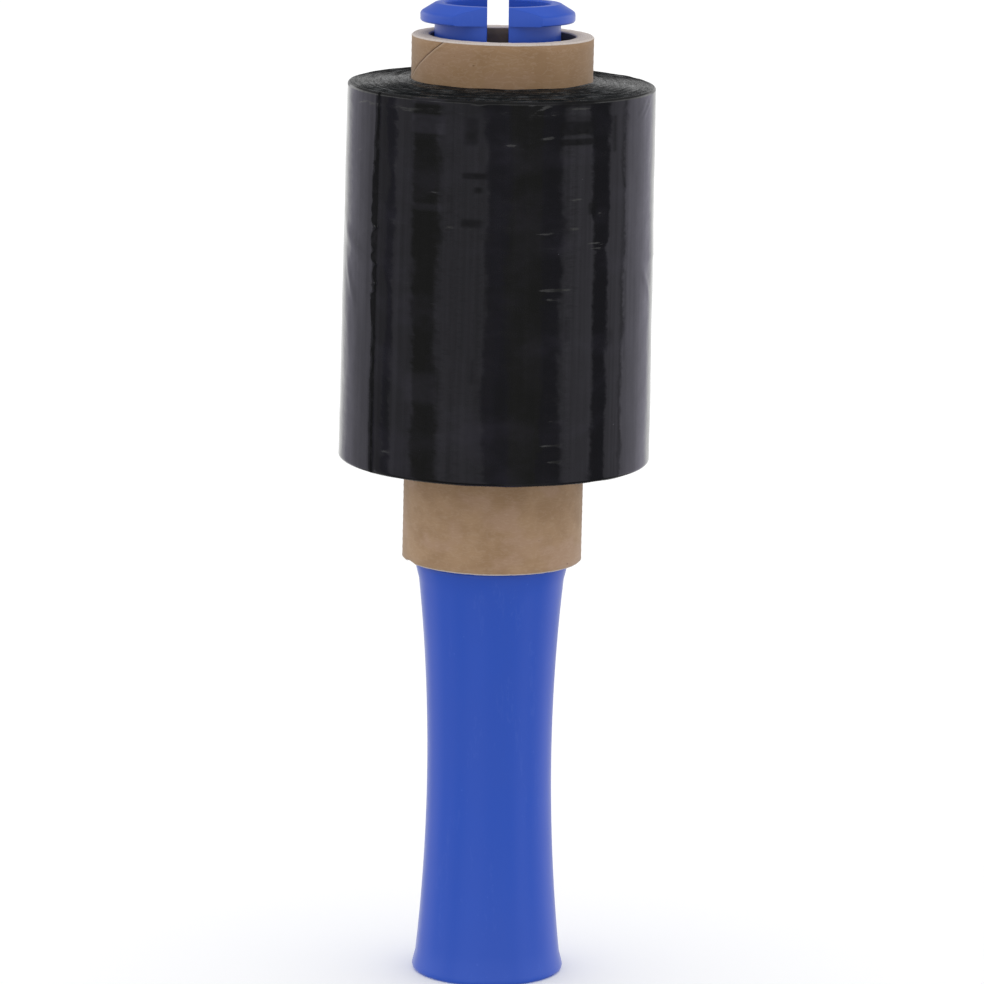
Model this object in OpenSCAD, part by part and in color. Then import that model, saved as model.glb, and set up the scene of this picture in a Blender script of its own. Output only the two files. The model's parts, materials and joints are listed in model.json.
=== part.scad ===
// Small stretch wrap roll: black film wound on a long spiral cardboard core, which turns
// on a one-piece moulded plastic handle. The handle's hollow grip ends in a seat for the
// core, a tapered spindle runs up the core's bore, and two split fingers with ramped
// catches snap out over the core's top rim.
// The origin is the centre of the grip's underside. +Z runs up the handle, and the slot
// between the fingers runs along Y, so that the front (-Y) looks straight through it.

/* [Core] */
// Bore of the cardboard core
core_bore_d = 38.1; // [34:0.1:46]
// Wall of the core
core_wall = 4.8; // [3:0.1:8]
// Bare length of core above the film
core_above = 12.8; // [4:0.1:30]
// Bare length of core below the film
core_below = 27.2; // [4:0.1:50]
// Chamfer on the core's cut edges
core_chamfer = 0.4; // [0.1:0.1:1]

/* [Film] */
// Width of the film, which is the height of the wound block
film_w = 99.6; // [60:0.1:150]
// Diameter of the wound film at its lower edge
film_d = 82.4; // [70:0.1:120]
// How much smaller the diameter is at the upper edge
film_taper = 1.6; // [0:0.1:4]
// Rounding where the turns curl over at the outer edges
film_round = 0.9; // [0.4:0.1:4]
// How far the inner turns stand out of each end face
film_crown = 1.1; // [0.2:0.1:4]
// Height of the ridges that the uneven turns leave on the end faces
ridge_h = 0.22; // [0.05:0.01:0.6]
// Number of ridges between the core and the outer edge
ridges = 24; // [6:1:40]

/* [Grip] */
// Height of the grip, from its underside to the seat
grip_h = 111.9; // [90:0.1:150]
// Diameter of the grip at its foot
base_d = 40.3; // [38:0.1:60]
// Diameter of the grip at its waist
waist_d = 33.1; // [30:0.1:36]
// Height of the waist
waist_z = 57; // [35:0.5:75]
// How far the flared lips at both ends of the grip stand out of its curve
lip_out = 0.35; // [0.1:0.05:1]
// Height over which each lip flares out
lip_h = 5; // [3:0.1:8]
// Upright land at the edge of each lip
lip_land = 1.4; // [1.2:0.1:2.5]
// Rounding of the lips' edges
lip_round = 0.9; // [0.3:0.1:1]
// Least wall of the moulding
wall = 2.5; // [1.5:0.1:3.5]

/* [Spindle] */
// Width of the ledge that carries the core's end
seat_ledge = 1.05; // [0.8:0.05:3]
// Radial play between the bore and the foot of the spindle
root_clearance = 1; // [0.3:0.05:1.8]
// Radial play between the bore and the neck of the spindle
neck_clearance = 2.6; // [1.9:0.05:3.5]
// End play of the core between the seat and the catches
end_play = 3.7; // [2.5:0.1:8]
// Fillet at the foot of the spindle
root_fillet = 0.6; // [0.2:0.1:1]

/* [Snap fingers] */
// Width of the slot that parts the two fingers
slot_w = 5.65; // [3:0.05:9]
// Depth of the slot, which is the length of a finger
slot_depth = 60; // [30:1:90]
// How far each catch reaches out past the bore
catch_bite = 1.15; // [0.5:0.05:2.5]
// Height of the catch's upright land
catch_land = 2.6; // [1.5:0.1:6]
// Height of the ramp that the core's rim slides down
ramp_h = 2.3; // [1.5:0.1:6]
// Rounding between ramp and land
ramp_round = 1.2; // [0.2:0.1:1.2]
// Rounding of the catch's other edges
catch_round = 0.6; // [0.2:0.1:0.7]
// Break of the bore's top edge
rim_break = 0.4; // [0.1:0.1:0.8]

/* [Lean of the roll] */
// Share of the play that the leaning roll has taken up
play_used = 0.94; // [0:0.01:0.95]
// Direction in which the top of the roll has slid, from +X towards +Y
top_slide_dir = -55; // [-180:1:180]
// Direction in which the foot of the roll has slid
foot_slide_dir = 90; // [-180:1:180]
// Gap between the seat and the nearest point of the core's end
seat_gap = 0.05; // [0.02:0.01:0.3]

/* [Hidden] */
$fn = 96;
// Running clear of a face that is cut through
past = 1;
// Air between the core and the innermost turn
wind_gap = 0.02;
// How far the catches' flats stand off the neck, so that the two never touch edge on
flat_off = 0.1;
// Steps of a rounded corner and of each half of the grip's waist
corner_steps = 6;
// Rounding where a lip's flare turns upright
lip_blend = 4;
waist_steps = 18;

core_bore_r = core_bore_d / 2;
core_r = core_bore_r + core_wall;
core_len = core_below + film_w + core_above;

waist_r = waist_d / 2;
base_r = base_d / 2;
seat_r = core_bore_r + seat_ledge;
root_r = core_bore_r - root_clearance;
neck_r = core_bore_r - neck_clearance;
catch_r = core_bore_r + catch_bite;
catch_z = grip_h + core_len + end_play;
land_z = catch_z + catch_land;
handle_h = land_z + ramp_h;
bore_r = min(neck_r, waist_r) - wall;

film_r = film_d / 2;
film_top_r = film_r - film_taper / 2;
film_bore_r = core_r + wind_gap;
film_top_z = core_below + film_w;

// The roll's axis runs from where its foot has slid to where its top has slid
top_play = core_bore_r - spindle_r(grip_h + core_len);
top_at = play_used * top_play * [cos(top_slide_dir), sin(top_slide_dir)];
foot_at = play_used * root_clearance * [cos(foot_slide_dir), sin(foot_slide_dir)];
slide = top_at - foot_at;
lean = asin(norm(slide) / core_len);
lean_dir = atan2(slide.y, slide.x);
// The leaning end is lowest over the seat's edge, which sets the height of its centre
foot_lift = seat_gap + tan(lean) * (seat_r - foot_at * [cos(lean_dir), sin(lean_dir)]);

// Radius of the spindle at height z, with the moulding's draft from seat to catch
function spindle_r(z) = root_r + (neck_r - root_r) * (z - grip_h) / (catch_z - grip_h);

// Radius of the grip's waisted curve at height z, which leaves the waist upright both ways
function grip_r(z) =
    let (low = z < waist_z)
    let (end_r = low ? base_r - lip_out : seat_r - lip_out)
    let (rise = low ? waist_z : grip_h - waist_z)
    waist_r + (end_r - waist_r) * ((z - waist_z) / rise) ^ 2;

// Radius of the hollow at height z, which keeps the wall until it meets the bore
function hollow_r(z) = max(bore_r, grip_r(z) - wall);

function unit(v) = v / norm(v);

// The points that round the corner b, between a and c, with radius r
function corner(a, b, c, r) =
    let (u = unit(a - b), v = unit(c - b))
    let (half = acos(u * v) / 2)
    let (centre = b + unit(u + v) * r / sin(half))
    let (from = b + u * r / tan(half) - centre, to = b + v * r / tan(half) - centre)
    let (start = atan2(from.y, from.x))
    let (turn = (atan2(to.y, to.x) - start + 540) % 360 - 180)
    [for (i = [0:corner_steps]) centre + r * [cos(start + turn * i / corner_steps),
                                              sin(start + turn * i / corner_steps)]];

// An outline whose corners are given as [radius, height, rounding]
function rounded(corners) =
    let (n = len(corners), at = [for (c = corners) [c.x, c.y]])
    [for (i = [0:n - 1]) each corners[i].z == 0 ? [at[i]]
        : corner(at[(i + n - 1) % n], at[i], at[(i + 1) % n], corners[i].z)];

// Height that turn i adds to an end face, from 0 at the outer turn to the full crown inside
function turn_height(i) = film_crown * i / ridges + ridge_h * sin(137.5 * i) * sin(180 * i / ridges);

// Radius of turn i, counted inwards from where the rounded edge ends
function turn_r(i, edge_r) =
    let (flat_r = edge_r - film_round)
    flat_r + (film_bore_r - flat_r) * i / ridges;

// Outside of grip and spindle, up to the top of the neck
module handle_outline() {
    waist = [for (i = [0:2 * waist_steps])
        let (z = lip_h + (grip_h - 2 * lip_h) * i / (2 * waist_steps)) [grip_r(z), z, 0]];
    polygon(rounded([
        [0, 0, 0],
        [base_r, 0, lip_round],
        [base_r, lip_land, lip_blend],
        each waist,
        [seat_r, grip_h - lip_land, lip_blend],
        [seat_r, grip_h, lip_round],
        [root_r, grip_h, root_fillet],
        [neck_r, catch_z, 0],
        [neck_r, handle_h, catch_round],
        [0, handle_h, 0],
    ]));
}

// Hollow of the grip and the straight bore that goes on through the spindle
module hollow_outline() {
    flare = [for (i = [0:waist_steps])
        let (z = waist_z * i / waist_steps) [hollow_r(z), z]];
    polygon([
        [0, -past],
        [hollow_r(0), -past],
        each flare,
        [bore_r, waist_z + past],
        [bore_r, handle_h - rim_break],
        [bore_r + rim_break, handle_h],
        [bore_r + rim_break, handle_h + past],
        [0, handle_h + past],
    ]);
}

// The ring that the two catches are cut from: flat below, ramped above
module catch_ring() {
    rotate_extrude()
        polygon(rounded([
            [bore_r, catch_z, 0],
            [catch_r, catch_z, catch_round],
            [catch_r, land_z, ramp_round],
            [neck_r, handle_h, catch_round],
            [bore_r, handle_h, 0],
        ]));
}

// Flats that trim the catches level with the neck, front and back
module between_flats() {
    flat_y = neck_r + flat_off;
    translate([-catch_r - past, -flat_y, catch_z - past])
        cube([2 * (catch_r + past), 2 * flat_y, handle_h - catch_z + 2 * past]);
}

// Slot through both walls, rounded at its root so that the fingers bend without cracking
module finger_slot() {
    root_z = handle_h - slot_depth + slot_w / 2;
    reach = catch_r + past;
    translate([-slot_w / 2, -reach, root_z])
        cube([slot_w, 2 * reach, handle_h - root_z + past]);
    translate([0, reach, root_z])
        rotate([90, 0, 0])
            cylinder(d = slot_w, h = 2 * reach);
}

module handle() {
    color([0.16, 0.27, 0.68])
        difference() {
            union() {
                rotate_extrude() handle_outline();
                intersection() {
                    catch_ring();
                    between_flats();
                }
            }
            rotate_extrude() hollow_outline();
            finger_slot();
        }
}

// Stands what is drawn from the core's lower end upwards on the leaning roll's axis
module on_roll_axis() {
    translate([foot_at.x, foot_at.y, grip_h + foot_lift])
        rotate([0, 0, lean_dir])
            rotate([0, lean, 0])
                children();
}

module core() {
    color([0.66, 0.55, 0.44])
        on_roll_axis()
            rotate_extrude()
                polygon([
                    [core_bore_r, core_chamfer],
                    [core_bore_r + core_chamfer, 0],
                    [core_r - core_chamfer, 0],
                    [core_r, core_chamfer],
                    [core_r, core_len - core_chamfer],
                    [core_r - core_chamfer, core_len],
                    [core_bore_r + core_chamfer, core_len],
                    [core_bore_r, core_len - core_chamfer],
                ]);
}

// The wound film: a slightly tapered block whose end faces show the edges of the turns
module film_roll() {
    low_face = [for (i = [ridges:-1:1])
        [turn_r(i, film_r), core_below - turn_height(i), 0]];
    high_face = [for (i = [1:ridges])
        [turn_r(i, film_top_r), film_top_z + turn_height(i), 0]];
    color([0.12, 0.12, 0.14])
        on_roll_axis()
            rotate_extrude()
                polygon(rounded([
                    each low_face,
                    [film_r, core_below, film_round],
                    [film_top_r, film_top_z, film_round],
                    each high_face,
                ]));
}

handle();
core();
film_roll();
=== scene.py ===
"""Looks of a small roll of black stretch wrap on its moulded handle.

The handle is one blue plastic moulding: a waisted hollow grip, a tapered spindle and two
snap fingers. A spiral-wound cardboard core turns on the spindle, and the film is wound on
the core. Core and film lean a little in their play, about the axis that the frame's joint
gives. Sizes are in millimetres, and pieces are made upright before they are placed. Places
round the roll are in degrees from the side that faces the camera, towards +X.
"""

import json
import logging
import math
from dataclasses import dataclass
from enum import Enum
from typing import ClassVar

import bmesh
import bpy
from mathutils import Matrix, Vector, noise


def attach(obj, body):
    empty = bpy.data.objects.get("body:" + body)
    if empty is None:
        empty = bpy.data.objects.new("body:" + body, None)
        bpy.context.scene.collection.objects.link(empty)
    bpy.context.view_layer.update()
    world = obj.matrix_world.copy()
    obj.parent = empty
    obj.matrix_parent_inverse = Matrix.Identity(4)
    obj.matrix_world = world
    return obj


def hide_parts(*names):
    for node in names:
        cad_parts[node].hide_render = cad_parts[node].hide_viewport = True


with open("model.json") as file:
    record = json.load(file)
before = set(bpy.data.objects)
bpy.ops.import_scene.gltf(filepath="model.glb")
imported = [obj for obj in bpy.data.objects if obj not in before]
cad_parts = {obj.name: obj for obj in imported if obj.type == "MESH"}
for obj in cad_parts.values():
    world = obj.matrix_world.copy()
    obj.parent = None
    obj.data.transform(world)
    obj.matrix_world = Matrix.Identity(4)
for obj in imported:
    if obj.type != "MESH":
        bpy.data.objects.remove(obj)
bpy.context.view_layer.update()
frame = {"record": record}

LOG = logging.getLogger("stretch_wrap_roll")
MM = 0.001
PICTURE_PX = 984
FILM_GATE_MM = 36.0
# Places nearer than these, in millimetres, count as one when a mesh is welded or compared
WELD = 0.0005
TOUCH = 0.01

Outline = list[tuple[float, float]]
Pairs = tuple[tuple[float, float], ...]
Colour = tuple[float, float, float, float]
Mesh = bmesh.types.BMesh
Material = bpy.types.Material
Node = bpy.types.Node
Socket = bpy.types.NodeSocket
Sockets = bpy.types.bpy_prop_collection


class Body(Enum):
    """The bodies that pieces move with."""

    HANDLE = "handle"
    ROLL = "roll"


class Slot(Enum):
    """The record's material slots."""

    BLUE_PLASTIC = "blue_plastic"
    KRAFT_BOARD = "kraft_board"
    BLACK_FILM = "black_film"


class Tint(Enum):
    """Tints of the cards that stand round the object."""

    PLAIN = (1.0, 1.0, 1.0)
    VIOLET = (0.98, 0.95, 1.12)
    OLIVE = (1.02, 1.03, 0.86)
    NAVY = (0.93, 0.88, 1.35)


@dataclass(frozen=True)
class RollAxis:
    """The leaning axis that core and film share, from the frame's joint.

    Args:
        foot: centre of the core's lower end, in metres.
        direction: unit vector up the axis.
    """

    foot: Vector
    direction: Vector

    @classmethod
    def from_frame(cls, joint_name: str) -> "RollAxis":
        """Reads the axis from the joint of that name."""
        joint = next(j for j in frame["record"]["behaviour"]["joints"] if j["name"] == joint_name)
        return cls(Vector(joint["pos_m"]), Vector(joint["axis"]).normalized())

    def placing(self) -> Matrix:
        """Returns the matrix that stands an upright piece on the axis."""
        turn = Vector((0, 0, 1)).rotation_difference(self.direction).to_matrix().to_4x4()
        return Matrix.Translation(self.foot) @ turn


def srgb(red: int, green: int, blue: int) -> Colour:
    """Turns an sRGB colour into linear RGBA.

    Args:
        red, green, blue: the sRGB channels, from 0 to 255.

    Returns:
        The colour.
    """
    def linear(value: int) -> float:
        """Returns one channel as linear light."""
        share = value / 255
        return share / 12.92 if share <= 0.04045 else ((share + 0.055) / 1.055) ** 2.4

    return (linear(red), linear(green), linear(blue), 1.0)


def turn_of(point: Vector) -> float:
    """Returns a point's place round the roll, in radians from the camera's side."""
    return math.atan2(point.x, -point.y)


def apart(turn: float, place_deg: float) -> float:
    """Returns how far a turn lies past a place round the roll, in radians, the short way."""
    return math.remainder(turn - math.radians(place_deg), math.tau)


def bell(value: float) -> float:
    """Returns a bell curve, 1 in its middle."""
    return math.exp(-(value ** 2))


def ripple(x: float, y: float, z: float) -> float:
    """Returns smooth noise at a place, from about -1 to 1."""
    return noise.noise(Vector((x, y, z)))


def set_place(vert: bmesh.types.BMVert, turn: float, radius: float) -> None:
    """Moves a vertex to a place round the roll and a radius, at its own height."""
    vert.co.x = radius * math.sin(turn)
    vert.co.y = -radius * math.cos(turn)


def ease(value: float) -> float:
    """Returns a value from 0 to 1, eased at both ends."""
    value = min(1.0, max(0.0, value))
    return value * value * (3 - 2 * value)


def between(points: Pairs, place: float) -> float:
    """Finds the value at a place between listed ones.

    Args:
        points: place and value of each listed point, in order.
        place: the place asked for.

    Returns:
        The value there.
    """
    for (low, first), (high, second) in zip(points, points[1:]):
        if place < high:
            share = max(0.0, (place - low) / (high - low))
            return first + (second - first) * share
    return points[-1][1]


def arc(centre: tuple[float, float], radius: float, start_deg: float, end_deg: float,
        steps: int) -> Outline:
    """Returns the points of a rounded corner, from one angle to another."""
    angles = [math.radians(start_deg + (end_deg - start_deg) * i / steps) for i in range(steps + 1)]
    return [(centre[0] + radius * math.cos(a), centre[1] + radius * math.sin(a)) for a in angles]


def rounded(corners: list[tuple[float, float, float]], steps: int = 5) -> Outline:
    """Rounds the corners of a closed outline.

    Args:
        corners: radius, height and rounding of each corner.
        steps: faces across each rounding.

    Returns:
        The outline's points.
    """
    points: Outline = []
    for index, (radius, height, rounding) in enumerate(corners):
        here = Vector((radius, height))
        if rounding == 0:
            points.append((radius, height))
            continue
        before = (Vector(corners[index - 1][:2]) - here).normalized()
        after = (Vector(corners[(index + 1) % len(corners)][:2]) - here).normalized()
        half = before.angle(after) / 2
        centre = here + (before + after).normalized() * rounding / math.sin(half)
        reach = rounding / math.tan(half)
        start = here + before * reach - centre
        swing = start.angle_signed(here + after * reach - centre)
        for step in range(steps + 1):
            turned = start.copy()
            turned.rotate(Matrix.Rotation(-swing * step / steps, 2))
            points.append(tuple(centre + turned))
    return points


def spun(outline: Outline, columns: int) -> Mesh:
    """Spins a closed outline about Z into a solid of revolution.

    Args:
        outline: radius and height of each point, in order.
        columns: faces around the full turn.

    Returns:
        The mesh, closed and with its faces pointing outwards.
    """
    bm = bmesh.new()
    verts = [bm.verts.new((radius, 0.0, height)) for radius, height in outline]
    edges = [bm.edges.new(pair) for pair in zip(verts, verts[1:] + verts[:1])]
    bmesh.ops.spin(
        bm, geom=verts + edges, cent=(0, 0, 0), axis=(0, 0, 1),
        angle=math.tau, steps=columns, use_merge=True,
    )
    bmesh.ops.remove_doubles(bm, verts=bm.verts, dist=WELD)
    bmesh.ops.recalc_face_normals(bm, faces=bm.faces)
    return bm


def linked(bm: Mesh, name: str) -> bpy.types.Object:
    """Makes a mesh an object of the scene.

    Args:
        bm: the mesh. It is freed.
        name: the object's name.

    Returns:
        The new object.
    """
    mesh = bpy.data.meshes.new(name)
    bm.to_mesh(mesh)
    bm.free()
    thing = bpy.data.objects.new(name, mesh)
    bpy.context.scene.collection.objects.link(thing)
    return thing


def finished(bm: Mesh, name: str, place: Matrix, body: Body,
             materials: list[Material]) -> bpy.types.Object:
    """Places a mesh, makes it an object at the origin and lets it ride.

    Args:
        bm: the mesh, in millimetres. It is freed.
        name: the piece's name.
        place: where the upright piece goes, in metres.
        body: what it moves with.
        materials: the piece's materials, in the order of its faces' indices.

    Returns:
        The new object.
    """
    bm.transform(place @ Matrix.Scale(MM, 4))
    for face in bm.faces:
        face.smooth = True
    piece = linked(bm, name)
    for material in materials:
        piece.data.materials.append(material)
    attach(piece, body.value)
    return piece


class NodeSheet:
    """A short way to add and join the nodes of one node tree."""

    def __init__(self, tree: bpy.types.NodeTree) -> None:
        """Keeps the tree that nodes go into."""
        self.tree = tree

    def add(self, kind: str, **settings: object) -> Node:
        """Adds a node of a kind and sets its plain properties.

        Args:
            kind: the node's type name.
            settings: its plain properties.

        Returns:
            The new node.
        """
        node = self.tree.nodes.new(kind)
        for key, value in settings.items():
            setattr(node, key, value)
        return node

    def feed(self, node: Node, **values: object) -> Node:
        """Sets or links a node's inputs by name, with _ for a space.

        Args:
            node: the node.
            values: a number, a colour or another node's output for each input.

        Returns:
            The same node.
        """
        for name, value in values.items():
            self.put(node.inputs[name.replace("_", " ")], value)
        return node

    def put(self, socket: Socket, value: object) -> None:
        """Links an output to a socket, or sets the socket's own value.

        Args:
            socket: the input to fill.
            value: another node's output, or a plain value.
        """
        if isinstance(value, Socket):
            self.tree.links.new(value, socket)
        else:
            socket.default_value = value

    def math(self, operation: str, *values: object) -> Socket:
        """Adds a Math node.

        Args:
            operation: what it does, by the node's own name.
            values: its inputs, in order.

        Returns:
            Its result.
        """
        node = self.add("ShaderNodeMath", operation=operation)
        for socket, value in zip(node.inputs, values):
            self.put(socket, value)
        return node.outputs[0]

    def times(self, first: object, second: object) -> Socket:
        """Multiplies two values and returns the result."""
        return self.math("MULTIPLY", first, second)

    def scaled(self, value: object, factor: object, more: object) -> Socket:
        """Multiplies a value, adds another to it and returns the result."""
        return self.math("MULTIPLY_ADD", value, factor, more)

    def mark(self, name: str) -> Socket:
        """Returns the value that the mesh's vertices hold under a name."""
        return self.add("ShaderNodeAttribute", attribute_name=name).outputs["Fac"]

    def split(self, vector: Socket) -> Sockets:
        """Splits a vector and returns its X, Y and Z."""
        return self.feed(self.add("ShaderNodeSeparateXYZ"), Vector=vector).outputs

    def joined(self, x: object, y: object, z: object = 0.0) -> Socket:
        """Joins three values and returns the vector."""
        return self.feed(self.add("ShaderNodeCombineXYZ"), X=x, Y=y, Z=z).outputs["Vector"]

    def noise(self, vector: Socket, scale: object, detail: float = 2.0,
              rough: float = 0.5, warp: float = 0.0) -> Socket:
        """Adds a Noise Texture and returns its factor."""
        given = {"Vector": vector, "Scale": scale, "Detail": detail, "Roughness": rough, "Distortion": warp}
        return self.feed(self.add("ShaderNodeTexNoise"), **given).outputs["Fac"]

    def ramp(self, factor: Socket,
             stops: list[tuple[float, tuple[float, ...]]]) -> Socket:
        """Adds a Color Ramp.

        Args:
            factor: place along the ramp.
            stops: place and colour of each stop, in order.

        Returns:
            Its colour.
        """
        node = self.add("ShaderNodeValToRGB")
        elements = node.color_ramp.elements
        while len(elements) < len(stops):
            elements.new(1.0)
        for element, (place, colour) in zip(elements, stops):
            element.position = place
            element.color = (*colour[:3], 1.0)
        self.feed(node, Fac=factor)
        return node.outputs["Color"]

    def span(self, value: Socket, low: float, high: float,
             to_low: float = 0.0, to_high: float = 1.0) -> Socket:
        """Maps a value smoothly from one span to another.

        Args:
            value: the value.
            low, high: the span that it comes from.
            to_low, to_high: the span that it goes to.

        Returns:
            The mapped value.
        """
        given = {"Value": value, "From Min": low, "From Max": high, "To Min": to_low, "To Max": to_high}
        node = self.add("ShaderNodeMapRange", interpolation_type="SMOOTHSTEP")
        return self.feed(node, **given).outputs["Result"]

    def mix(self, factor: object, first: object, second: object) -> Socket:
        """Mixes two colours.

        Args:
            factor: share of the second colour.
            first: the first colour.
            second: the second colour.

        Returns:
            The mixed colour.
        """
        node = self.add("ShaderNodeMix", data_type="RGBA")
        for index, value in ((0, factor), (6, first), (7, second)):
            self.put(node.inputs[index], value)
        return node.outputs[2]

    def bump(self, height: Socket, strength: float, depth_mm: float) -> Socket:
        """Adds a Bump node and returns its normal."""
        given = {"Height": height, "Strength": strength, "Distance": depth_mm * MM}
        return self.feed(self.add("ShaderNodeBump"), **given).outputs["Normal"]

    def place(self) -> Socket:
        """Returns Object coordinates, in metres."""
        return self.add("ShaderNodeTexCoord").outputs["Object"]

    def upright(self, axis: RollAxis) -> Socket:
        """Turns Object coordinates into the leaning roll's own frame.

        Args:
            axis: the roll's axis.

        Returns:
            The coordinates, in metres.
        """
        back = axis.placing().inverted()
        node = self.add("ShaderNodeMapping")
        self.feed(node, Vector=self.place(), Rotation=back.to_euler(), Location=back.to_translation())
        return node.outputs["Vector"]

    def stretched(self, vector: Socket, across: float, up: float) -> Socket:
        """Scales a pattern's coordinates across and up, in features a millimetre."""
        scale = (across / MM, across / MM, up / MM)
        return self.feed(self.add("ShaderNodeMapping"), Vector=vector, Scale=scale).outputs["Vector"]

    def from_axis(self, vector: Socket) -> tuple[Socket, Sockets]:
        """Measures the distance from the upright axis.

        Args:
            vector: coordinates in the roll's own frame.

        Returns:
            The distance, and X, Y and Z.
        """
        way = self.split(vector)
        squares = [self.math("POWER", way[name], 2.0) for name in ("X", "Y")]
        return self.math("SQRT", self.math("ADD", *squares)), way


class Effects:
    """The effects that several finishes share, as shader node groups."""

    def __init__(self) -> None:
        """Starts with no group built."""
        self.groups: dict[str, bpy.types.NodeTree] = {}

    def started(self, name: str, inputs: dict[str, float],
                outputs: list[str]) -> tuple[NodeSheet, Sockets, Node]:
        """Starts a group with a Vector input, number inputs and number outputs.

        Args:
            name: the group's name.
            inputs: name and usual value of each number input.
            outputs: name of each output.

        Returns:
            The group's sheet, the values given to it and its output node.
        """
        tree = bpy.data.node_groups.new(name, "ShaderNodeTree")
        tree.interface.new_socket("Vector", in_out="INPUT", socket_type="NodeSocketVector")
        for label, usual in inputs.items():
            socket = tree.interface.new_socket(label, in_out="INPUT", socket_type="NodeSocketFloat")
            socket.default_value = usual
        for label in outputs:
            tree.interface.new_socket(label, in_out="OUTPUT", socket_type="NodeSocketFloat")
        sheet = NodeSheet(tree)
        self.groups[name] = tree
        return sheet, sheet.add("NodeGroupInput").outputs, sheet.add("NodeGroupOutput")

    def build(self) -> None:
        """Builds every shared effect once."""
        self.build_grain()
        self.build_specks()
        self.build_scuffs()

    def build_grain(self) -> None:
        """Builds fine grain over slow clouds."""
        results = ["Fine Mask", "Slow Mask", "Height"]
        sheet, given, out = self.started("grain", {"Fine": 900.0, "Slow": 40.0}, results)
        fine = sheet.noise(given["Vector"], given["Fine"], 3.0, 0.6)
        slow = sheet.noise(given["Vector"], given["Slow"], 4.0, 0.55)
        both = sheet.scaled(fine, 0.7, sheet.times(slow, 0.3))
        sheet.feed(out, Fine_Mask=fine, Slow_Mask=slow, Height=both)

    def build_specks(self) -> None:
        """Builds sparse round specks of uneven size."""
        usual = {"Scale": 300.0, "Size": 0.12, "Rarity": 0.6}
        sheet, given, out = self.started("specks", usual, ["Mask"])
        cells = sheet.add("ShaderNodeTexVoronoi", feature="F1")
        sheet.feed(cells, Vector=given["Vector"], Scale=given["Scale"], Randomness=1.0)
        chance = sheet.feed(sheet.add("ShaderNodeSeparateColor"), Color=cells.outputs["Color"])
        chosen = sheet.math("GREATER_THAN", chance.outputs["Red"], given["Rarity"])
        reach = sheet.times(given["Size"], sheet.math("ADD", chance.outputs["Green"], 0.3))
        inside = sheet.math("LESS_THAN", cells.outputs["Distance"], reach)
        sheet.feed(out, Mask=sheet.times(chosen, inside))

    def build_scuffs(self) -> None:
        """Builds faint short rubs that run one way."""
        sheet, given, out = self.started("scuffs", {"Scale": 160.0, "Cover": 0.62}, ["Mask"])
        thin = sheet.noise(given["Vector"], given["Scale"], 2.0, 0.5, 0.4)
        where = sheet.noise(given["Vector"], 9.0, 1.0)
        off = sheet.math("ABSOLUTE", sheet.math("SUBTRACT", thin, 0.5))
        line = sheet.math("MAXIMUM", sheet.math("SUBTRACT", 1.0, sheet.times(off, 22.0)), 0.0)
        gate = sheet.math("GREATER_THAN", where, given["Cover"])
        sheet.feed(out, Mask=sheet.times(line, gate))

    def use(self, sheet: NodeSheet, name: str, vector: Socket, **values: float) -> Sockets:
        """Places a group in a material with its own values and returns its outputs."""
        node = sheet.add("ShaderNodeGroup", node_tree=self.groups[name])
        return sheet.feed(node, Vector=vector, **values).outputs


def material_sheet(name: str) -> tuple[Material, NodeSheet, Node]:
    """Makes a new material.

    Args:
        name: the material's name.

    Returns:
        The material, its sheet and its Principled BSDF.
    """
    material = bpy.data.materials.new(name)
    material.use_nodes = True
    return material, NodeSheet(material.node_tree), material.node_tree.nodes["Principled BSDF"]


@dataclass(frozen=True)
class BluePlastic:
    """Smooth half-gloss blue moulding plastic with a trace of handling."""

    body: Colour = srgb(40, 87, 200)
    deep: Colour = srgb(37, 81, 192)
    rubbed: Colour = srgb(74, 114, 214)
    roughness: float = 0.34
    rub_share: float = 0.12
    dust_share: float = 0.25

    def build(self, effects: Effects) -> Material:
        """Builds the blue plastic.

        Args:
            effects: the shared effects.

        Returns:
            The material.
        """
        material, sheet, shader = material_sheet("blue_plastic")
        place = sheet.place()
        grain = effects.use(sheet, "grain", place, Fine=1400.0, Slow=30.0)
        rubs = effects.use(sheet, "scuffs", sheet.stretched(place, 0.03, 0.006), Scale=30.0, Cover=0.6)
        dust = effects.use(sheet, "specks", place, Scale=420.0, Size=0.1, Rarity=0.93)
        even = sheet.mix(grain["Slow Mask"], self.body, self.deep)
        marked = sheet.times(rubs["Mask"], self.rub_share)
        dusty = sheet.math("MAXIMUM", marked, sheet.times(dust["Mask"], self.dust_share))
        sheet.feed(shader, Base_Color=sheet.mix(dusty, even, self.rubbed))
        low, high = self.roughness - 0.03, self.roughness + 0.04
        gloss = sheet.span(grain["Slow Mask"], 0.3, 0.7, low, high)
        sheet.feed(shader, Roughness=sheet.scaled(rubs["Mask"], 0.08, gloss))
        sheet.feed(shader, Normal=sheet.bump(grain["Height"], 0.1, 0.03))
        return material


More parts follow.
